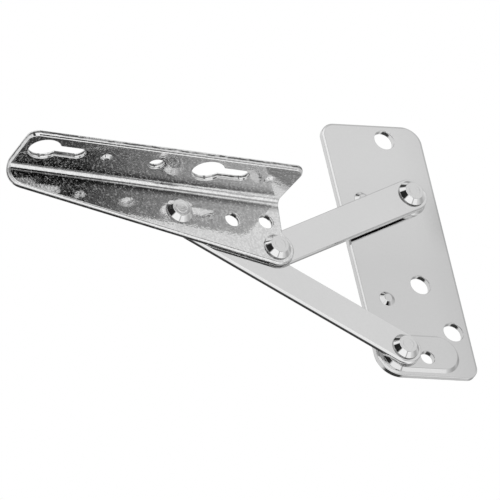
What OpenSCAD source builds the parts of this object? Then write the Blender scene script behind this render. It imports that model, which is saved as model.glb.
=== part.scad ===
// Four-link lid hinge for a drop flap: a cabinet plate, two flat links and an
// angle bracket, all of 2 mm zinc-plated sheet, joined by four flat-topped rivets.
//
// Everything is drawn face on: x to the right, y up the plate, z out of the plate
// towards the viewer. face_on() then turns it into the row frame, where z is up
// and the plate's front looks along -y. The origin is the axis of the upper screw
// hole on the plate's back face. The pose is the open stop, as in the photograph.

/* [Sheet] */

// thickness of the plate, the links and the bracket
sheet_t = 2; // [1.8:0.1:2.2]
// free space between two parts that slide over each other
slide_gap = 0.1; // [0.08:0.02:0.16]

/* [Cabinet plate] */

// width of the plate
plate_w = 37.1; // [36.1:0.5:42.1]
// height of the plate
plate_h = 99; // [98:1:110]
// diameter of the three screw holes
screw_hole_d = 7; // [5:0.5:8]
// diameter of the small fixing hole in the pressed pad
pin_hole_d = 4.8; // [3:0.2:5.4]
// height of the pressed boss and pad above the sheet
press_h = 1.2; // [1:0.1:1.6]
// height of the two pressed pips beside the boss and under the long link
pip_h = 0.9; // [0.6:0.1:1]

/* [Links] */

// width of both links
link_w = 12; // [11:0.2:12]

/* [Flap bracket] */

// width of the flange, measured outside the bend
flange_w = 21.6; // [20.6:0.5:26.6]
// inner radius of the bend
bend_r = 1; // [0.6:0.2:1.4]
// diameter of the round end of the keyholes
key_d = 11; // [9:0.5:12]
// width of the narrow end of the keyholes
slot_w = 5.6; // [4:0.2:6.6]
// how far a screw slides along its keyhole
slot_travel = 12; // [10:0.5:14]
// diameter of the three small holes of the bracket
side_hole_d = 5.2; // [3:0.2:6]

/* [Rivets] */

// diameter of the rivet heads
head_d = 9.5; // [8:0.5:10]
// diameter of the rivet shanks
shank_d = 5; // [4:0.2:5.6]

/* [Hidden] */

$fn = 96;
// how far a cutting tool sticks out of what it cuts
over = 1;
// how far a rounding stands proud of slanting edges
graze = 0.02;

// pivots at the open stop, seen from the front
foot_to_foot = [-16.74, -61.27];
foot_to_short_tip = [-57.4, -25.48];
foot_to_long_tip = [-91.41, -13.07];
short_foot = [3.32, -23.13];
long_foot = short_foot + foot_to_foot;
short_tip = short_foot + foot_to_short_tip;
long_tip = short_foot + foot_to_long_tip;

// plate outline, its holes and its pressings
plate_left = -23.1;
plate_bottom = -93.3;
plate_right = plate_left + plate_w;
plate_top = plate_bottom + plate_h;
corner_top_left = 5.3;
corner_top_right = 6.5;
corner_bottom_right = 4.6;
corner_bottom_left = 8.4;
screw_holes = [[0, 0], [0.1, -57.1], [8.2, -75.3]];
pin_hole = [-4.65, -86.7];
pips = [[-14, -24.2], [-13.9, -63.4]];
pip_foot_r = 2.8;
pip_top_r = 1.4;
boss_foot_r = 6.4;
boss_top_r = 5.3;
pad_foot_r = 7.4;
pad_top_r = 6.25;
pad_length = 13.9;
pad_drop = 0.35;
pad_start = long_foot - [0, pad_drop];
pad_end = pad_start + [pad_length, 0];
press_wall = 1.2;

// heights above the plate's back face
press_top = sheet_t + press_h;
link_back = press_top + slide_gap;
link_front = link_back + sheet_t;
web_back = link_front + slide_gap;
web_front = web_back + sheet_t;
flange_edge = web_back + flange_w;

// rivets
running = 0.05;
shank_r = shank_d / 2;
bore_r = shank_r + running;
head_r = head_d / 2;
head_rim = 0.5;
head_h = 2.1;
head_slope = 1.6;
head_top_r = head_r - head_slope;
tail_r = 3.6;
// free space under the bracket's rivet tails, and how deep the plate's tails are sunk
tail_floor = 0.3;
tail_sunk = 0.1;
tail_h = press_h - tail_floor;
foot_tail_h = press_h - tail_sunk;
stop_gap = 0.3;

// bracket, drawn about the long link's rivet: x along the bend, y up to the flange
lean = -5.1;
flange_inner = 9.1;
flange_outer = flange_inner + sheet_t;
bend_y = flange_inner - bend_r;
bend_z = web_front + bend_r;
web_left = -62;
web_right = 38;
flange_flare = 0.104;
web_corner = 5;
flange_corner = 3.6;
tip_r = 6.4;
tip = [34.98, -9.34];
edge_slope = 10.87;
edge_dir = [cos(edge_slope), -sin(edge_slope)];
edge_out = [-sin(edge_slope), -cos(edge_slope)];
tip_low = tip + tip_r * edge_out;
// rounding of the inside corner between the round tip and the web's end
step_r = 2;
step_x = web_right + step_r;
step_y = tip[1] + sqrt(pow(tip_r + graze + step_r, 2) - pow(step_x - tip[0], 2));
key_line = web_front + 11.9;
keys_x = [-53.8, 6.6];
flange_hole_x = -12.5;
web_holes = [[19.75, -0.4], [32.2, 0.5]];
flange_pips_x = [-31, 29.5];
flange_pip_r = 1.9;
flange_pip_top = 1;
flange_pip_h = 0.9;
flange_dimple_r = 1.4;
flange_dimple_top = 0.6;

steel = [0.80, 0.81, 0.83];
steel_dark = [0.66, 0.68, 0.71];

// turns the face-on drawing into the row frame
module face_on() {
    rotate([90, 0, 0]) children();
}

// a straight-walled slice of a flat outline between two heights
module slab(low, high) {
    translate([0, 0, low]) linear_extrude(height = high - low) children();
}

// a round peg, or a tapered one, standing at a point
module peg(at, low, high, r_low, r_high) {
    translate([at[0], at[1], low]) cylinder(h = high - low, r1 = r_low, r2 = r_high);
}

// a round hole right through between two heights
module bore(at, low, high, r) {
    peg(at, low - over, high + over, r, r);
}

function unit(v) = v / norm(v);

// distance from a corner to where its rounding begins
function trim(a, b, c, r) = r * (1 + unit(a - b) * unit(c - b)) / norm(cross3(unit(a - b), unit(c - b)));
function cross3(p, q) = [p[0] * q[1] - p[1] * q[0]];

// centre of the rounding of corner b
function round_centre(a, b, c, r) = b + unit(unit(a - b) + unit(c - b)) * sqrt(r * r + pow(trim(a, b, c, r), 2));

// outline through convex corners, each rounded with its own radius; on slanting
// edges the rounding stands a hair proud, so that it crosses them and doesn't graze
module rounded(pts, radii, proud = 0) {
    n = len(pts);
    polygon([for (i = [0:n - 1], side = [-1, 1])
        let (before = pts[(i + n - 1) % n], here = pts[i], after = pts[(i + 1) % n], t = trim(before, here, after, radii[i]))
        here + t * unit((side < 0 ? before : after) - here)]);
    for (i = [0:n - 1]) {
        if (radii[i] > 0) {
            translate(round_centre(pts[(i + n - 1) % n], pts[i], pts[(i + 1) % n], radii[i])) circle(r = radii[i] + proud);
        }
    }
}

// outline of a strip with round ends about two points
module strip(a, b, r) {
    l = norm(b - a);
    translate(a) rotate([0, 0, atan2(b[1] - a[1], b[0] - a[0])]) {
        translate([0, -r]) square([l, 2 * r]);
        circle(r = r);
        translate([l, 0]) circle(r = r);
    }
}

// raised strip along x with sloping walls, wide at the foot
module pressed_pad(a, b, low, high, r_low, r_high) {
    peg(a, low, high, r_low, r_high);
    peg(b, low, high, r_low, r_high);
    translate([a[0], a[1], low]) rotate([90, 0, 90]) linear_extrude(height = b[0] - a[0])
        polygon([[-r_low, 0], [r_low, 0], [r_high, high - low], [-r_high, high - low]]);
}

module plate() {
    color(steel) face_on() difference() {
        union() {
            slab(0, sheet_t) rounded(
                [[plate_left, plate_bottom], [plate_right, plate_bottom], [plate_right, plate_top], [plate_left, plate_top]],
                [corner_bottom_left, corner_bottom_right, corner_top_right, corner_top_left]);
            peg(short_foot, sheet_t, press_top, boss_foot_r, boss_top_r);
            pressed_pad(pad_start, pad_end, sheet_t, press_top, pad_foot_r, pad_top_r);
            for (p = pips) {
                peg(p, sheet_t, sheet_t + pip_h, pip_foot_r, pip_top_r);
            }
        }
        // the hollows that the pressing leaves behind
        peg(short_foot, 0, press_h, boss_foot_r - press_wall, boss_top_r - press_wall);
        pressed_pad(pad_start, pad_end, 0, press_h, pad_foot_r - press_wall, pad_top_r - press_wall);
        for (p = pips) {
            peg(p, 0, pip_h, pip_foot_r - press_wall, pip_top_r - press_wall / 2);
        }
        bore(short_foot, 0, press_top, shank_r);
        bore(long_foot, 0, press_top, shank_r);
        for (p = screw_holes) {
            bore(p, 0, sheet_t, screw_hole_d / 2);
        }
        bore(pin_hole, 0, press_top, pin_hole_d / 2);
    }
}

module short_link() {
    color(steel) face_on() difference() {
        slab(link_back, link_front) strip(short_tip, short_foot, link_w / 2);
        bore(short_tip, link_back, link_front, bore_r);
        bore(short_foot, link_back, link_front, bore_r);
    }
}

// the hollow in its upper edge takes the short link's end at the open stop
module long_link() {
    color(steel) face_on() difference() {
        slab(link_back, link_front) strip(long_tip, long_foot, link_w / 2);
        slab(link_back - over, link_front + over) strip(short_tip, short_foot, link_w / 2 + stop_gap);
        bore(long_tip, link_back, link_front, bore_r);
        bore(long_foot, link_back, link_front, shank_r);
    }
}

// the web: straight lower edge that runs into the round tip
module web_outline() {
    low_left = tip_low - edge_dir * ((tip_low[0] - web_left) / edge_dir[0]);
    rounded([[web_left, bend_y], low_left, tip_low, [web_right, tip[1]], [web_right, bend_y]], [0, web_corner, 0, 0, 0], graze);
    translate(tip) circle(r = tip_r + graze);
    difference() {
        polygon([[web_right - over, step_y], [step_x, step_y], tip]);
        translate([step_x, step_y]) circle(r = step_r - graze);
    }
}

// keyhole seen along the flange's normal, round end first
module keyhole(at) {
    translate(at) circle(r = key_d / 2);
    translate(at - [0, slot_w / 2]) square([slot_travel, slot_w]);
    translate(at + [slot_travel, 0]) circle(r = slot_w / 2);
}

// turns an outline drawn in x and height into a sheet standing across the web
module standing(low, high) {
    translate([0, high, 0]) rotate([90, 0, 0]) linear_extrude(height = high - low) children();
}

module bracket() {
    flare_end = web_right + flange_flare * (flange_edge - bend_z);
    color(steel) face_on() translate(long_tip) rotate([0, 0, lean]) difference() {
        union() {
            slab(web_back, web_front) web_outline();
            standing(flange_inner, flange_outer) rounded(
                [[web_left, bend_z], [web_right, bend_z], [flare_end, flange_edge], [web_left, flange_edge]],
                [0, 0, flange_corner, flange_corner], graze);
            // quarter tube of the bend
            intersection() {
                translate([web_left, bend_y, bend_z]) rotate([0, 90, 0]) difference() {
                    cylinder(h = web_right - web_left, r = bend_r + sheet_t);
                    translate([0, 0, -over]) cylinder(h = web_right - web_left + 2 * over, r = bend_r);
                }
                translate([web_left, bend_y, web_back]) cube([web_right - web_left, bend_r + sheet_t, bend_r + sheet_t]);
            }
            for (x = flange_pips_x) {
                translate([x, flange_inner, key_line]) rotate([90, 0, 0]) cylinder(h = flange_pip_h, r1 = flange_pip_r, r2 = flange_pip_top);
            }
        }
        standing(flange_inner - over, flange_outer + over) for (x = keys_x) {
            keyhole([x, key_line]);
        }
        standing(flange_inner - over, flange_outer + over) translate([flange_hole_x, key_line]) circle(d = side_hole_d);
        for (x = flange_pips_x) {
            translate([x, flange_outer, key_line]) rotate([90, 0, 0]) cylinder(h = flange_pip_h, r1 = flange_dimple_r, r2 = flange_dimple_top);
        }
        for (p = web_holes) {
            bore(p, web_back, web_front, side_hole_d / 2);
        }
        bore([0, 0], web_back, web_front, shank_r);
        bore(tip, web_back, web_front, shank_r);
    }
}

// flat-topped head on a short rim, standing on a face
module rivet_head(at, on) {
    translate([at[0], at[1], on]) rotate_extrude() polygon([[0, 0], [head_r, 0], [head_r, head_rim], [head_top_r, head_h], [0, head_h]]);
}

// rivet of the short link in the boss, its tail sunk behind the plate
module plate_rivet() {
    color(steel_dark) face_on() {
        rivet_head(short_foot, web_back);
        peg(short_foot, press_h - over / 2, web_back + over / 2, shank_r, shank_r);
        peg(short_foot, press_h - foot_tail_h, press_h, tail_r, tail_r);
    }
}

// the two rivets that carry the bracket
module flap_rivets() {
    color(steel_dark) face_on() for (p = [short_tip, long_tip]) {
        rivet_head(p, web_front);
        peg(p, press_top - over / 2, web_front + over / 2, shank_r, shank_r);
        peg(p, press_top - tail_h, press_top, tail_r, tail_r);
    }
}

// head and shank of the long link's foot rivet; its tail stays in the plate
module foot_rivet() {
    color(steel_dark) face_on() {
        rivet_head(long_foot, link_front);
        peg(long_foot, link_back, link_front + over / 2, shank_r, shank_r);
    }
}

module foot_rivet_tail() {
    color(steel_dark) face_on() {
        peg(long_foot, press_h - over / 2, press_top, shank_r, shank_r);
        peg(long_foot, press_h - foot_tail_h, press_h, tail_r, tail_r);
    }
}

plate();
short_link();
long_link();
bracket();
plate_rivet();
flap_rivets();
foot_rivet();
foot_rivet_tail();
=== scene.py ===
"""Looks of the four-link lid hinge: pressed zinc-plated sheet, flat-topped rivets, a plain studio.

Sheet parts are drawn face on in millimetres: x to the right, y up the plate and z out of
the plate towards the viewer. face_on() turns that drawing into the shared frame.
"""

import math

import bpy
import numpy as np
from mathutils import Matrix, Vector
from mathutils.geometry import tessellate_polygon


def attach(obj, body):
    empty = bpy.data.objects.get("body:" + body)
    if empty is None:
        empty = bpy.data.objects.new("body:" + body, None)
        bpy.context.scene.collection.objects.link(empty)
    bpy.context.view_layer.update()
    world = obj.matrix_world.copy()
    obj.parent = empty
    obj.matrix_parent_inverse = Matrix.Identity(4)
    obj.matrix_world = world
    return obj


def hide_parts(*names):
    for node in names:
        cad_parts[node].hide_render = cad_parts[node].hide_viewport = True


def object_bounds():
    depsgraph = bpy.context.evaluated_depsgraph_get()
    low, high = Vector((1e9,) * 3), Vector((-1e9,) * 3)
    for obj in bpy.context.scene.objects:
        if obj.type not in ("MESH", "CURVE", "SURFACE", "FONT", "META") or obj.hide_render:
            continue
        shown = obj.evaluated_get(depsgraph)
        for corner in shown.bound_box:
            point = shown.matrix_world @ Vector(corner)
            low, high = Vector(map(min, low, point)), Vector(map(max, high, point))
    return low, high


MM = 0.001
AROUND = 96  # points in a full circle

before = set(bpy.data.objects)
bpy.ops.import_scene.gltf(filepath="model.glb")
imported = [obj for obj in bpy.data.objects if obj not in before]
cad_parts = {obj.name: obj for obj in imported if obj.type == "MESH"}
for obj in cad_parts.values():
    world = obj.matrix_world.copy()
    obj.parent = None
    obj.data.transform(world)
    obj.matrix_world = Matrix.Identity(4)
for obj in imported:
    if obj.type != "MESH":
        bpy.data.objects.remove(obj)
cad_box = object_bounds()

# sizes of the hinge in millimetres, the same as in the solids; a pair of depths is back, front
SHEET = 2.0
PRESS_TOP = 3.2
PRESS_INSIDE = 1.2
LINK = (3.3, 5.3)
WEB = (5.4, 7.4)
LINK_R = 6.0
STOP_GAP = 0.3
SHORT_FOOT = np.array([3.32, -23.13])
LONG_FOOT = SHORT_FOOT + [-16.74, -61.27]
SHORT_TIP = SHORT_FOOT + [-57.4, -25.48]
LONG_TIP = SHORT_FOOT + [-91.41, -13.07]
LEAN = math.radians(-5.1)
PIP_HEIGHT = 0.9

PLATE_CORNERS = [(-23.1, -93.3), (14, -93.3), (14, 5.7), (-23.1, 5.7)]
PLATE_RADII = [8.4, 4.6, 6.5, 5.3]
SCREW_HOLES = ((0, 0), (0.1, -57.1), (8.2, -75.3))
SCREW_HOLE_R = 3.5
PLATE_PIPS = ((-14, -24.2), (-13.9, -63.4))
PAD_RUN = 13.9
PAD_DROP = 0.35
PAD_HOLE = (-4.65, -86.7)
PAD_HOLE_R = 2.4

# the bracket's flat pattern about the long link's rivet, before it leans over
BRACKET_LEFT = -62
BRACKET_RIGHT = 38
WEB_SLOPE = math.radians(10.87)
WEB_TIP = np.array([34.98, -9.34])
WEB_TIP_R = 6.4
WEB_HOLES = ((19.75, -0.4), (32.2, 0.5))
SMALL_HOLE_R = 2.6
FLANGE_EDGE = 27.0
FLANGE_FLARE = 0.104
FLANGE_HOLE = -12.5
FLANGE_PIPS = (-31, 29.5)
KEYHOLES = (-53.8, 6.6)
KEY_DEPTH = 19.3

# the bend, rounder than the solid's for its broad bright band
BEND_R = 2.0
BEND_Y = 7.1
BEND_Z = 9.4
BEND_RUN = 4.0
BEND_END = BEND_Y + BEND_RUN
KEY_LINE = BEND_END + KEY_DEPTH - BEND_Z

# sheared edges: how far the lip is drawn in, how deep its nose is, and the burr's radius
PLATE_SHEAR = (0.85, 0.42, 0.1)
LINK_SHEAR = (0.36, 0.95, 0.14)
BRACKET_SHEAR = (0.45, 0.9, 0.14)
HOLE_SHEAR = (0.16, 0.4, 0.12)

# rivets: CORE is the flat middle's radius, SINK how far shank and tail overlap
HEAD_HEIGHT = 2.1
HEAD_RIM = 0.5
HEAD_R = 4.75
HEAD_FLAT_R = 3.15
SHANK_R = 2.5
TAIL_R = 3.6
DIMPLE = 0.25
CORE = 0.3
SINK = 0.1


# outlines, all in millimetres and counter-clockwise


def arc(centre, r, start, end, count):
    """Points at equal angles from start to end, in degrees, about a centre."""
    turn = np.radians(np.linspace(start, end, count))
    return np.array(centre) + r * np.stack([np.cos(turn), np.sin(turn)], 1)


def ring(centre, r, count=AROUND):
    """A circle as a closed loop."""
    return arc(centre, r, 0, 360 - 360 / count, count)


def rounded(corners, radii, count=14):
    """A closed loop through corners, each cut by an arc that touches both of its edges."""
    corners = [np.array(c, float) for c in corners]
    loop = []
    for i, (here, r) in enumerate(zip(corners, radii)):
        if r == 0:
            loop.append(here[None])
            continue
        before, after = corners[i - 1] - here, corners[(i + 1) % len(corners)] - here
        before, after = before / np.hypot(*before), after / np.hypot(*after)
        half = math.acos(np.clip(before @ after, -1, 1)) / 2
        middle = before + after
        centre = here + middle / np.hypot(*middle) * r / math.sin(half)
        first = here + before * r / math.tan(half) - centre
        last = here + after * r / math.tan(half) - centre
        start = math.degrees(math.atan2(first[1], first[0]))
        sweep = (math.degrees(math.atan2(last[1], last[0])) - start + 180) % 360 - 180
        loop.append(arc(centre, r, start, start + sweep, count))
    return np.concatenate(loop)


def even(loop, step):
    """Adds points along a loop's longer stretches, so that none is longer than step."""
    parts = []
    for a, b in zip(loop, np.roll(loop, -1, 0)):
        count = max(1, math.ceil(np.hypot(*(b - a)) / step))
        parts.append(a + (b - a) * np.linspace(0, 1, count, endpoint=False)[:, None])
    return np.concatenate(parts)


def joined(parts):
    """One closed loop from several stretches, without the points that two stretches share."""
    loop = np.concatenate(parts)
    gap = np.roll(loop, -1, 0) - loop
    return loop[np.hypot(gap[:, 0], gap[:, 1]) > 1e-4]


def moved(points, at, turn=0.0):
    """Points turned by an angle and carried to a place."""
    c, s = math.cos(turn), math.sin(turn)
    return points @ np.array([[c, s], [-s, c]]) + at


def strip(length, r, count=40):
    """A strip with round ends, its centre line on the x axis."""
    return joined([arc((length, 0), r, -90, 90, count), arc((0, 0), r, 90, 270, count)])


def short_bar():
    """Outline of the short link: a strip between its two rivets."""
    along = SHORT_FOOT - SHORT_TIP
    return moved(strip(np.hypot(*along), LINK_R), SHORT_TIP, math.atan2(along[1], along[0]))


def long_bar():
    """Outline of the long link, drawn along the x axis from its tip and then turned: a strip whose
    upper edge follows the short link's round end and then its side, a stop's gap away."""
    along = LONG_FOOT - LONG_TIP
    length, turn = np.hypot(*along), math.atan2(along[1], along[0])
    end, foot = moved(np.array([SHORT_TIP, SHORT_FOOT]) - LONG_TIP, (0, 0), -turn)
    way = (foot - end) / np.hypot(*(foot - end))
    r = LINK_R + STOP_GAP
    x = np.linspace(length, 0, 400)
    off = x - end[0]
    below_end = end[1] - np.sqrt(np.maximum(r * r - off * off, 0))
    below_side = end[1] - way[0] * r + (off - way[1] * r) * way[1] / way[0]
    low = np.select([off > way[1] * r, abs(off) < r], [below_side, below_end], LINK_R)
    upper = np.column_stack([x, np.minimum(LINK_R, low)])
    parts = [arc((length, 0), LINK_R, -90, 88, 40), upper, arc((0, 0), LINK_R, 92, 270, 40)]
    return even(moved(joined(parts), LONG_TIP, turn), 3)


def keyhole(x):
    """Round end, straight neck and small round end of a keyhole, its two inner corners eased."""
    r, neck, travel, ease = 5.5, 2.8, 12.0, 0.5
    reach = math.sqrt((r + ease) ** 2 - (neck + ease) ** 2)
    turn = math.degrees(math.atan2(neck + ease, reach))
    parts = [
        arc((0, 0), r, turn, 360 - turn, 64),
        arc((reach, -neck - ease), ease, 180 - turn, 90, 6),
        arc((travel, 0), neck, -90, 90, 28),
        arc((reach, neck + ease), ease, -90, turn - 180, 6),
    ]
    return moved(joined(parts), (x, KEY_LINE))


def bracket_outline():
    """The bracket's flat pattern: tapering web with its round tip below, then the bend, then the
    flange, which flares to the right above the notch at the bend's end."""
    c, s = math.cos(WEB_SLOPE), math.sin(WEB_SLOPE)
    way, down = np.array([c, -s]), np.array([-s, -c])
    low = WEB_TIP + WEB_TIP_R * down
    corner = low - way * (low[0] - BRACKET_LEFT) / way[0]
    ease = 2.0
    aside = BRACKET_RIGHT + ease - WEB_TIP[0]
    rise = math.sqrt((WEB_TIP_R + ease) ** 2 - aside**2)
    turn = math.degrees(math.atan2(rise, aside))
    far = BEND_END + FLANGE_EDGE - BEND_Z
    flare = BRACKET_RIGHT + FLANGE_FLARE * (FLANGE_EDGE - BEND_Z)
    bend = np.linspace(BEND_Y, BEND_END, 13)
    web_left = rounded([(BRACKET_LEFT, BEND_Y), corner, low], [0, 5, 0], 20)[1:-1]
    flange_left = [(BRACKET_LEFT, far), (BRACKET_LEFT, BEND_END)]
    flange = [(BRACKET_RIGHT, BEND_END), (flare, far), *flange_left]
    parts = [
        web_left,
        arc(WEB_TIP, WEB_TIP_R, math.degrees(math.atan2(down[1], down[0])), turn, 40),
        arc((BRACKET_RIGHT + ease, WEB_TIP[1] + rise), ease, turn + 180, 180, 8),
        np.column_stack([np.full(13, BRACKET_RIGHT), bend]),
        rounded(flange, [0, 3.6, 3.6, 0], 18)[1:-1],
        np.column_stack([np.full(13, BRACKET_LEFT), bend[::-1]]),
    ]
    return joined(parts)


# section lines, each with its surface normals


def outward(loop):
    """The direction out of the material at each point: the mean of its two edges' normals, longer
    at corners."""
    edge = np.roll(loop, -1, 0) - loop
    edge /= np.hypot(edge[:, 0], edge[:, 1])[:, None]
    normal = np.stack([edge[:, 1], -edge[:, 0]], 1)
    before = np.roll(normal, 1, 0)
    return (normal + before) / (1 + (normal * before).sum(1))[:, None]


def path(points, radii, count=5):
    """An open section line with its inner corners rounded, and the surface's normals along it."""
    points = np.array(points, float)
    step = np.diff(points, axis=0)
    step /= np.hypot(step[:, 0], step[:, 1])[:, None]
    left = np.stack([-step[:, 1], step[:, 0]], 1)
    places, normals = [points[0]], [left[0]]
    for i, r in enumerate(radii):
        before, after = step[i], step[i + 1]
        turn = math.atan2(before[0] * after[1] - before[1] * after[0], before @ after)
        share = np.linspace(0, 1, count)[:, None]
        normal = np.sin((1 - share) * abs(turn)) * left[i] + np.sin(share * abs(turn)) * left[i + 1]
        normal /= np.hypot(normal[:, 0], normal[:, 1])[:, None]
        side = math.copysign(r, turn)
        centre = points[i + 1] - before * abs(r * math.tan(turn / 2)) + left[i] * side
        bow = centre - normal * side
        fresh = 1 if np.hypot(*(bow[0] - places[-1])) < 1e-4 else 0
        places.extend(bow[fresh:])
        normals.extend(normal[fresh:])
    if np.hypot(*(points[-1] - places[-1])) > 1e-4:
        places.append(points[-1])
        normals.append(left[-1])
    return np.array(places), np.array(normals)


def sheet_edge(front, back, shear, shoulder=False):
    """Section of a sheared edge: over the drawn-in lip, round the nose, down the cut and over the
    burr to the back face. A shoulder makes the lip a shallow slope before a steeper nose."""
    lip, nose, burr = shear
    lip_points, radii = [(-2 * lip, front), (-lip, front)], [1.2 * lip, 2.4 * nose, burr]
    if shoulder:
        lip_points = [(-1.1 * lip, front), (-lip, front), (-0.12 * lip, front - 0.5 * nose)]
        radii = [0.5 * lip, 0.25 * lip, 0.2 * lip, burr]
    return path([*lip_points, (0, front - nose), (0, back), (-burr, back)], radii)


def head_section(base, foot, mark=0.2):
    """Flat top with two rings left by the riveting tool, a bevelled wall, a short rim, and the
    shank below it."""
    top = base + HEAD_HEIGHT
    inner, outer = top - 0.03 * mark, top - 0.05 * mark
    rings = [(0.25, inner), (0.75, inner), (0.95, top), (1.75, top), (1.95, outer), (2.1, top)]
    wall = [(HEAD_FLAT_R, top), (HEAD_R, base + HEAD_RIM), (HEAD_R, base)]
    shank = [(SHANK_R, base), (SHANK_R, foot), (CORE, foot)]
    return rings + wall + shank, [0.1] * 5 + [0.3, 0.2, 0.05, 0.02, 0.05]


def shank_section(high, low):
    """A plain shank."""
    return [(CORE, high), (SHANK_R, high), (SHANK_R, low), (CORE, low)], [0.2, 0.05]


def tail_section(high, low):
    """A pressed-flat tail with a shallow dimple."""
    disc = [(CORE, high), (TAIL_R, high), (TAIL_R, low)]
    return disc + [(1.6, low), (1.2, low + DIMPLE), (CORE, low + DIMPLE)], [0.05, 0.3, 0.15, 0.1]


# surfaces


def face_on(points):
    """From the face-on drawing to the shared frame: y becomes z, and z becomes minus y."""
    return np.column_stack([points[:, 0], -points[:, 2], points[:, 1]])


def flat_place(uv, height):
    """Places in a flat sheet's drawing, at a height above its back."""
    return np.column_stack([uv, height])


def flat_lean(uv, side, up):
    """Normals of a flat sheet's drawing."""
    return np.column_stack([side, up])


def bend_turn(s):
    """The sine and cosine of the bend's turn at a distance up the flat pattern."""
    angle = np.clip((s - BEND_Y) / BEND_RUN, 0, 1) * math.pi / 2
    return np.sin(angle), np.cos(angle)


def bent_place(uv, height):
    """Wraps the bracket's flat pattern round its bend: flat web, quarter turn about the bend's
    axis, flat flange. The pattern's front lies on the bend's inner radius."""
    u, s = uv.T
    sine, cosine = bend_turn(s)
    r = BEND_R - height
    y = np.minimum(s, BEND_Y) + r * sine
    z = BEND_Z - r * cosine + np.maximum(s - BEND_END, 0)
    return np.column_stack([u, y, z])


def bent_lean(uv, side, up):
    """Normals of the flat pattern turned with the bend."""
    sine, cosine = bend_turn(uv[:, 1])
    y, z = side[:, 1] * cosine - up * sine, side[:, 1] * sine + up * cosine
    return np.column_stack([side[:, 0], y, z])


def lean_over(points, carried):
    """Leans the bracket's drawing over. Places are carried to the long link's rivet, and normals
    stay."""
    return np.column_stack([moved(points[:, :2], LONG_TIP * carried, LEAN), points[:, 2]])


class Pressing:
    """A closed surface of section lines carried round loops, with flat faces between such rings."""

    def __init__(self, place=flat_place, lean=flat_lean):
        self.place = place
        self.lean = lean
        self.places, self.normals, self.faces = [], [], []
        self.cut, self.deep = [], []
        self.uv = []
        self.count = 0

    def carry(self, loop, section, hole=False):
        """Carries a section line round a loop: each point is the loop's point moved out by the
        section's reach, at the section's height."""
        if hole:
            loop = loop[::-1]
        reach, normal = section
        out = outward(loop)
        unit = out / np.hypot(out[:, 0], out[:, 1])[:, None]
        rows, columns = len(reach), len(loop)
        uv = (loop[None] + reach[:, None, :1] * out[None]).reshape(-1, 2)
        height = np.repeat(reach[:, 1], columns)
        side = (normal[:, None, :1] * unit[None]).reshape(-1, 2)
        up = np.repeat(normal[:, 1], columns)
        self.places.append(self.place(uv, height))
        self.normals.append(self.lean(uv, side, up))
        self.cut.append(1 - abs(up))
        self.deep.append((reach[0, 1] - height) / (reach[0, 1] - reach[-1, 1]))
        self.uv.append(uv)
        index = self.count + np.arange(rows * columns).reshape(rows, columns)
        after = np.roll(index, -1, 1)
        quads = np.stack([index[:-1], index[1:], after[1:], after[:-1]], 2)
        self.faces += quads.reshape(-1, 4).tolist()
        self.count += rows * columns
        return index[0], index[-1]

    def fill(self, rings, front=True):
        """Fills a flat face that lies between rings of points, the outer one first."""
        index = np.concatenate(rings)
        uv = np.concatenate(self.uv)
        flat_rings = [np.column_stack([uv[r], np.zeros(len(r))]).tolist() for r in rings]
        triangles = np.array(tessellate_polygon(flat_rings))
        a, b, c = (uv[index[triangles[:, k]]] for k in range(3))
        ab, ac = b - a, c - a
        area = ab[:, 0] * ac[:, 1] - ab[:, 1] * ac[:, 0]
        real = abs(area) > 1e-9
        triangles, area = triangles[real], area[real]
        wrong = (area > 0) != front
        triangles[wrong] = triangles[wrong][:, ::-1]
        self.faces += index[triangles].tolist()

    def span(self, left, right, front=True):
        """Fills a ruled face between two rows of points of equal number."""
        quads = np.stack([left[:-1], right[:-1], right[1:], left[1:]], 1)
        self.faces += (quads if front else quads[:, ::-1]).tolist()

    def piece(self, name, turn=None):
        """Makes the finished piece in the shared frame, with the section's own normals."""
        places, normals = np.concatenate(self.places), np.concatenate(self.normals)
        if turn is not None:
            places, normals = turn(places, 1), turn(normals, 0)
        places, normals = face_on(places) * MM, face_on(normals)
        mesh = bpy.data.meshes.new(name)
        mesh.from_pydata(places.tolist(), [], self.faces)
        mesh.polygons.foreach_set("use_smooth", [True] * len(mesh.polygons))
        for mark, values in (("cut", self.cut), ("deep", self.deep)):
            held = mesh.attributes.new(mark, "FLOAT", "POINT").data
            held.foreach_set("value", np.concatenate(values).astype(np.float32))
        mesh.normals_split_custom_set_from_vertices(normals.tolist())
        made = bpy.data.objects.new(name, mesh)
        bpy.context.scene.collection.objects.link(made)
        return made


def bar(name, outline):
    """A flat link: one outline, its sheared edge and its two faces."""
    back, front = LINK
    made = Pressing()
    lip, burr = made.carry(outline, sheet_edge(front, back, LINK_SHEAR))
    made.fill([lip])
    made.fill([burr], front=False)
    return made.piece(name)


def riveted(name, at, stack):
    """A rivet as turned profiles about its axis, each from the middle of its front face to the
    middle of its back face."""
    made = Pressing()
    for points, radii in stack:
        front, back = made.carry(ring(at, 1.0), path(np.array(points) - [1.0, 0], radii))
        made.fill([front])
        made.fill([back], front=False)
    return made.piece(name)


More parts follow.
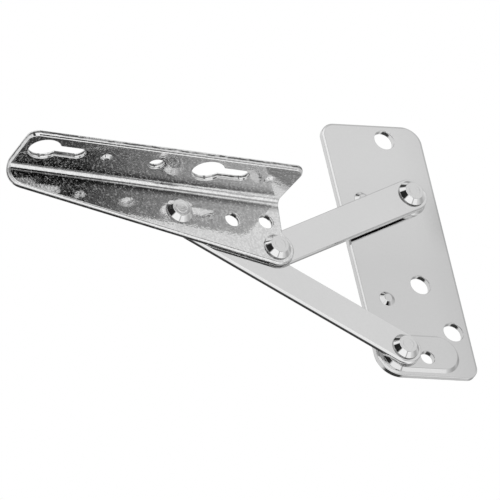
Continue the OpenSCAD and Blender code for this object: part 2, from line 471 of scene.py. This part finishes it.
def cabinet_plate():
    """The plate: sheet outline, screw holes, and boss, pad and pips pressed up from behind."""
    made = Pressing()
    outline = even(rounded(PLATE_CORNERS, PLATE_RADII, 24), 4)
    front, back = made.carry(outline, sheet_edge(SHEET, 0, PLATE_SHEAR, shoulder=True))
    fronts, backs = [front], [back]
    for at in SCREW_HOLES:
        hole = ring(at, SCREW_HOLE_R)
        lip, burr = made.carry(hole, sheet_edge(SHEET, 0, HOLE_SHEAR), hole=True)
        fronts.append(lip)
        backs.append(burr)
    pad = even(moved(strip(PAD_RUN, 1.0), LONG_FOOT - [0, PAD_DROP]), 2)
    # loop of radius 1, reach of foot and top, height, how far the hollow's foot and top lie
    # within them, the hollow's depth, and the softness of foot and top
    tall = (PRESS_TOP, 1.2, 1.2, PRESS_INSIDE)
    pip = (2.8, 1.4, SHEET + PIP_HEIGHT, 1.2, 0.6, PIP_HEIGHT, 0.5, 0.9)
    pressings = [
        (ring(SHORT_FOOT, 1.0), 6.4, 5.3, *tall, 0.3, 0.6),
        (pad, 7.4, 6.25, *tall, 0.12, 0.3),
        *((ring(at, 1.0, 48), *pip) for at in PLATE_PIPS),
    ]
    for loop, foot, top, height, foot_in, top_in, depth, soft_foot, soft_top in pressings:
        foot, top = foot - 1, top - 1
        wall = [(top - 1.2, height), (top, height), (foot, SHEET), (foot + 1.2 * soft_foot, SHEET)]
        cap, lip = made.carry(loop, path(wall, [soft_top, soft_foot], 7))
        fronts.append(lip[::-1])
        foot, top = foot - foot_in, top - top_in
        wall = [(foot + 0.3, 0), (foot, 0), (top, depth), (top - 0.3, depth)]
        burr, hollow = made.carry(loop, path(wall, [0.3, 0.3], 5))
        backs.append(burr)
        caps, hollows = [cap], [hollow]
        if loop is pad:
            hole = ring(PAD_HOLE, PAD_HOLE_R, 64)
            lip, burr = made.carry(hole, sheet_edge(PRESS_TOP, PRESS_INSIDE, HOLE_SHEAR), hole=True)
            caps.append(lip)
            hollows.append(burr)
        made.fill(caps)
        made.fill(hollows, front=False)
    made.fill(fronts)
    made.fill(backs, front=False)
    return made.piece("cabinet_plate")


def flap_bracket():
    """The bracket: one flat pattern wrapped round its bend, with keyholes, small holes and pips."""
    made = Pressing(bent_place, bent_lean)
    outline = bracket_outline()
    front, back = made.carry(outline, sheet_edge(0, -SHEET, BRACKET_SHEAR))
    hole_edge = sheet_edge(0, -SHEET, HOLE_SHEAR)
    web_rings, flange_rings = [], []
    for at in WEB_HOLES:
        web_rings.append(made.carry(ring(at, SMALL_HOLE_R, 64), hole_edge, hole=True))
    for hole in (ring((FLANGE_HOLE, KEY_LINE), SMALL_HOLE_R, 64), *map(keyhole, KEYHOLES)):
        flange_rings.append(made.carry(hole, hole_edge, hole=True))
    pip_top, dimple_top = PIP_HEIGHT, PIP_HEIGHT - SHEET
    pip = [(-0.9, pip_top), (0, pip_top), (0.9, 0), (1.4, 0)]
    dimple = [(0.8, -SHEET), (0.4, -SHEET), (-0.4, dimple_top), (-0.9, dimple_top)]
    for x in FLANGE_PIPS:
        loop = ring((x, KEY_LINE), 1.0, 40)
        cap, lip = made.carry(loop, path(pip, [0.5, 0.4], 6))
        made.fill([cap])
        burr, cap = made.carry(loop, path(dimple, [0.15, 0.1]))
        made.fill([cap], front=False)
        flange_rings.append((lip[::-1], burr[::-1]))

    # the outline's points in the web, in the flange and at the two ends of the bend
    u, s = outline.T
    near = 1e-6
    web, flange = np.flatnonzero(s < BEND_Y + near), np.flatnonzero(s > BEND_END - near)
    jumps = np.diff(web)
    if jumps.max() > 1:
        web = np.roll(web, -(jumps.argmax() + 1))
    bending = (s > BEND_Y - near) & (s < BEND_END + near)
    right = np.flatnonzero(bending & (u > BRACKET_RIGHT - 1))
    left = np.flatnonzero(bending & (u < BRACKET_LEFT + 1))[::-1]
    for side, edge in enumerate((front, back)):
        made.fill([edge[web], *[r[side] for r in web_rings]], front=side == 0)
        made.fill([edge[flange], *[r[side] for r in flange_rings]], front=side == 0)
        made.span(edge[left], edge[right], front=side == 0)
    return made.piece("flap_bracket", lean_over)


# finishes


class Value:
    """One number in a shader, so that sums with it are written as plain expressions."""

    def __init__(self, finish, socket):
        self.finish = finish
        self.socket = socket

    def math(self, operation, *others, clamp=False):
        """The result of a Math node."""
        settings = {"operation": operation, "use_clamp": clamp}
        return self.finish.add("ShaderNodeMath", settings, dict(enumerate([self, *others])))

    def __add__(self, other):
        return self.math("ADD", other)

    def __sub__(self, other):
        return self.math("SUBTRACT", other)

    def __rsub__(self, other):
        return -self + other

    def __mul__(self, other):
        return self.math("MULTIPLY", other)

    def __pow__(self, other):
        return self.math("POWER", other)

    def __abs__(self):
        return self.math("ABSOLUTE")

    def __neg__(self):
        return self * -1

    __radd__ = __add__
    __rmul__ = __mul__

    def step(self, low, high):
        """Nought below low and one above high, with an even ramp between them."""
        return ((self - low) * (1 / (high - low))).math("ADD", 0, clamp=True)

    def within(self, low, high, soft):
        """One between low and high and nought outside them, with a ramp across each of the two."""
        return self.step(low - soft, low + soft) * (1 - self.step(high - soft, high + soft))


class Finish:
    """The node tree of a material or of the world, filled by one method."""

    def __init__(self, owner):
        owner.use_nodes = True
        self.tree = owner.node_tree
        self.tree.nodes.clear()

    def feed(self, socket, item):
        """Links a Value to an input, or writes a constant there."""
        if isinstance(item, Value):
            self.tree.links.new(item.socket, socket)
        else:
            socket.default_value = item

    def add(self, kind, settings=None, feeds=None, out=0):
        """Adds a node: its settings first, then what its sockets take. Gives the output that out
        names, or a list of them where it names several."""
        node = self.tree.nodes.new(kind)
        for name, item in (settings or {}).items():
            setattr(node, name, item)
        for name, item in (feeds or {}).items():
            self.feed(node.inputs[name], item)
        if isinstance(out, tuple):
            return [Value(self, node.outputs[name]) for name in out]
        return Value(self, node.outputs[out]) if len(node.outputs) else None


def grey(level):
    """A neutral grey."""
    return (level, level, level, 1)


def zinc(name, level, rough, grain, torn, tear, shade=None, bow=0.0, brushed=0.0):
    """Bright zinc plating: a mirror grey with a fine frost of crystals that shows only where the
    mirror is dark, a slow wave of the sheet, and a torn, darker strip along sheared edges.

    grain is the frost's strength, torn the strip's darkness and tear its borders, as shares of the
    edge's depth. shade paints shade into the grey: it is a function of the place that darkens it.
    bow curves the whole reflection along the piece, and brushed roughens the faces that aren't
    sheared."""
    made = bpy.data.materials.new(name)
    f = Finish(made)
    place = f.add("ShaderNodeTexCoord", out="Object")
    x, y, z = f.add("ShaderNodeSeparateXYZ", feeds={0: place}, out=("X", "Y", "Z"))
    cut = f.add("ShaderNodeAttribute", {"attribute_name": "cut"}, out="Fac")
    deep = f.add("ShaderNodeAttribute", {"attribute_name": "deep"}, out="Fac")

    def noise(scale, detail, roughness=0.5):
        feeds = {"Vector": place, "Scale": scale, "Detail": detail, "Roughness": roughness}
        return f.add("ShaderNodeTexNoise", feeds=feeds)

    cloud, wave = noise(45, 2), noise(90, 1)
    ragged, broken = noise(260, 4, 0.7), noise(380, 1)
    speck = noise(1400, 1)

    strip_depth = deep + (ragged - 0.5) * 0.6
    strip_here = cut.step(0.6, 0.9) * strip_depth.within(*tear, 0.04)
    tear_share = strip_here * (0.5 + broken.step(0.38, 0.5) * 0.5) * torn
    cloudy = 1 - (1 - cloud.step(0.3, 0.7)) * 0.015
    flecked = 1 - (1 - speck.step(0.4, 0.62)) * (0.18 * grain)
    tone = cloudy * flecked * level
    # painted shade: the grey darkened by the place
    if shade:
        tone = tone * shade(x, y, z)
    tint = f.add("ShaderNodeCombineColor", feeds={0: tone, 1: tone, 2: tone})
    sockets = {0: tear_share, 6: tint, 7: grey(0.05)}
    colour = f.add("ShaderNodeMix", {"data_type": "RGBA"}, sockets, out=2)

    middle = x + 0.108
    height = (speck * (0.022 * grain) + wave * 0.02) * MM + middle * middle * bow
    bump = f.add("ShaderNodeBump", feeds={"Strength": 1.0, "Distance": 1.0, "Height": height})
    roughness = rough + tear_share * 0.3 + (1 - cut).step(0.93, 1.0) * brushed
    looks = {"Base Color": colour, "Metallic": 1.0, "Roughness": roughness, "Normal": bump}
    mirror = f.add("ShaderNodeBsdfPrincipled", feeds=looks)
    frost = f.add("ShaderNodeBsdfDiffuse", feeds={"Color": grey(0.85)})
    share = speck.step(0.57, 0.70) * (0.33 * grain) * (1 - tear_share)
    shader = f.add("ShaderNodeMixShader", feeds={0: share, 1: mirror, 2: frost})
    f.add("ShaderNodeOutputMaterial", feeds={"Surface": shader})
    return made


def bend_painted_shade(x, y, z):
    """Painted shade: darkens the front of the bracket's web in a soft strip along the foot of its
    bend, where the bend's corner lies in shade. The strip reaches higher, and is darker, to the
    left."""
    up = (z - LONG_TIP[1] * MM) * math.cos(LEAN) - (x - LONG_TIP[0] * MM) * math.sin(LEAN)
    below_bend = 1 - (up + (x + 0.073) * 0.0125).step(0.0071, 0.0075)
    # painted shade strip under the bend
    strip = up.step(0.0047, 0.0068) * below_bend * (-y).step(0.0064, 0.0072)
    return 1 - strip * (0.42 + (-x).step(0.02, 0.1) * 0.38)


def plate_painted_shade(x, y, z):
    """Painted shade on the plate: a little darker downwards and to the right, and a painted dark
    reflection at its right edge below the boss."""
    # painted dark reflection along the right edge below the boss
    edge = x.step(0.007, 0.0145) * (1 - abs(z + 0.031).step(0.003, 0.014))
    return 1 - (-z).step(0.012, 0.05) * 0.085 - x.step(0.003, 0.015) * 0.06 - edge * 0.14


def finished(piece, material, body, slot, *nodes):
    """Gives a new piece its finish and its body, and hides the CAD nodes that it stands for. slot
    is not used.
    """
    piece.data.materials.append(material)
    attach(piece, body)
    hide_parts(*nodes)


# the plate and the bracket get painted shade in their grey
plate_zinc = zinc("plate zinc", 0.825, 0.07, 0.08, 0.4, (0.9, 1.34), shade=plate_painted_shade)
link_zinc = zinc("link zinc", 0.83, 0.07, 0.08, 0.4, (0.76, 1.34))
bracket_zinc = zinc("bracket zinc", 0.92, 0.07, 1.0, 0.95, (0.46, 0.78), shade=bend_painted_shade, bow=-1.0)
rivet_zinc = zinc("rivet zinc", 0.84, 0.05, 0.1, 0.75, (0.19, 0.74), brushed=0.13)

sheets = (
    (cabinet_plate(), plate_zinc, "cabinet_plate", "plate"),
    (bar("short_link_bar", short_bar()), link_zinc, "short_arm", "short_link"),
    (bar("long_link_bar", long_bar()), link_zinc, "long_arm", "long_link"),
    (flap_bracket(), bracket_zinc, "flap_bracket", "bracket"),
)
for piece, material, body, node in sheets:
    finished(piece, material, body, "zinc_sheet", node)

plate_head = head_section(WEB[0], PRESS_INSIDE - SINK)
plate_tail = tail_section(PRESS_INSIDE, 0.1)
tip_head = head_section(WEB[1], PRESS_TOP - SINK)
marked_head = head_section(WEB[1], PRESS_TOP - SINK, 1.0)
bracket_tail = tail_section(PRESS_TOP, 2.3)
foot_head = head_section(LINK[1], LINK[0])
foot_shank = shank_section(PRESS_TOP, PRESS_INSIDE - SINK)
rivets = (
    ("plate_rivet_turned", SHORT_FOOT, [plate_head, plate_tail], "cabinet_plate", "plate_rivet"),
    ("tip_rivet_turned", SHORT_TIP, [tip_head, bracket_tail], "flap_bracket", "flap_rivets"),
    ("web_rivet_turned", LONG_TIP, [marked_head, bracket_tail], "flap_bracket", "flap_rivets"),
    ("foot_rivet_turned", LONG_FOOT, [foot_head], "long_arm", "foot_rivet"),
    ("foot_tail_turned", LONG_FOOT, [foot_shank, plate_tail], "cabinet_plate", "foot_rivet_tail"),
)
for name, at, stack, body, node in rivets:
    finished(riveted(name, at, stack), rivet_zinc, body, "zinc_rivet", node)


# studio


def studio():
    """White all round for the camera. The metal sees a pale room with dark openings and white
    cards, each a patch of sky between two bearings and two heights in degrees; bearing 0 is in
    front, 90 to the right."""
    room = bpy.data.worlds.new("studio")
    f = Finish(room)
    bpy.context.scene.world = room
    way = f.add("ShaderNodeTexCoord", out="Generated")
    x, y, z = f.add("ShaderNodeSeparateXYZ", feeds={0: way}, out=("X", "Y", "Z"))
    bearing = x.math("ARCTAN2", -y) * (180 / math.pi)
    height = z.math("ARCSINE") * (180 / math.pi)

    def patch(left, right, low, high, soft=3.0):
        """One inside the patch and nought outside it, with soft borders."""
        return bearing.within(left, right, soft) * height.within(low, high, soft)

    def spot(toward, inner, outer):
        """One within an angle of a direction and nought outside a wider one."""
        feeds = {0: way, 1: Vector(toward).normalized()}
        near = f.add("ShaderNodeVectorMath", {"operation": "DOT_PRODUCT"}, feeds, out="Value")
        return near.step(math.cos(math.radians(outer)), math.cos(math.radians(inner)))

    level = 0.78 + (-height).step(38, 44) * 0.2
    for where, shade in (
        (patch(-43, 21, -12, 46), 1.0),
        (patch(-45, -2, -60, -16, 2), 1.05),
        (patch(8, 76, 53, 80, 5), 0.45),
        (patch(-125, 8, 60, 84, 2), 0.06),
        (patch(62, 100, 12, 44, 12), 0.46),
        (patch(66, 104, -36, 4, 14), 0.45),
        (patch(0, 58, -43, -14, 2), 0.01 + bearing.step(20, 54) * 0.74),
        (patch(3, 12, -60, -42, 3), 0.4),
        (patch(-68, -46, -58, 31, 1.5), 0.02),
        (patch(-80, -50, 36, 54, 2), 1.0),
        (patch(8, 25, 20, 40, 2), 0.15),
        (spot((-0.10, 0.74, -0.66), 24, 36), 0.05),
        (spot((0.75, 0.66, 0.0), 10, 30), 0.36),
    ):
        level = level * (1 - where) + where * shade
    seen = f.add("ShaderNodeLightPath", out="Is Camera Ray")
    strength = seen + (1 - seen) * level
    sky = f.add("ShaderNodeBackground", feeds={"Color": grey(1), "Strength": strength})
    f.add("ShaderNodeOutputWorld", feeds={"Surface": sky})


def floor():
    """A pale floor under the hinge that fades to white far out and is seen from above only."""
    half = 1.5
    low = cad_box[0].z - 1 * MM
    corners = [(-half, -half, low), (half, -half, low), (half, half, low), (-half, half, low)]
    mesh = bpy.data.meshes.new("floor")
    mesh.from_pydata(corners, [], [(0, 1, 2, 3)])
    piece = bpy.data.objects.new("floor", mesh)
    bpy.context.scene.collection.objects.link(piece)
    made = bpy.data.materials.new("pale floor")
    f = Finish(made)
    place = f.add("ShaderNodeTexCoord", out="Object")
    x, y = f.add("ShaderNodeSeparateXYZ", feeds={0: place}, out=("X", "Y"))
    far = ((x * x + y * y) ** 0.5).step(0.3, 1.2)
    above = 1 - f.add("ShaderNodeNewGeometry", out="Backfacing")
    seen = f.add("ShaderNodeLightPath", out="Is Camera Ray") * above
    matt = f.add("ShaderNodeBsdfDiffuse", feeds={"Color": grey(0.9)})
    clear = f.add("ShaderNodeBsdfTransparent")
    shown = f.add("ShaderNodeMixShader", feeds={0: seen * (1 - far), 1: clear, 2: matt})
    f.add("ShaderNodeOutputMaterial", feeds={"Surface": shown})
    mesh.materials.append(made)


def camera():
    """A parallel view from below left, as the photograph is taken, 3 pixels to the millimetre."""
    right = Vector((0.88717, -0.41105, -0.20971))
    up = Vector((-0.04695, -0.53250, 0.84513))
    back = Vector((-0.45906, -0.73992, -0.49172))
    data = bpy.data.cameras.new("camera")
    data.type = "ORTHO"
    data.ortho_scale = 0.16667
    data.clip_start = 0.01
    data.clip_end = 10
    piece = bpy.data.objects.new("camera", data)
    bpy.context.scene.collection.objects.link(piece)
    turn = Matrix((right, up, back)).transposed().to_4x4()
    turn.translation = right * -0.04395 + up * -0.03559 + back * 0.35
    piece.matrix_world = turn
    bpy.context.scene.camera = piece


studio()
floor()
camera()
bpy.context.scene.view_settings.view_transform = "Standard"
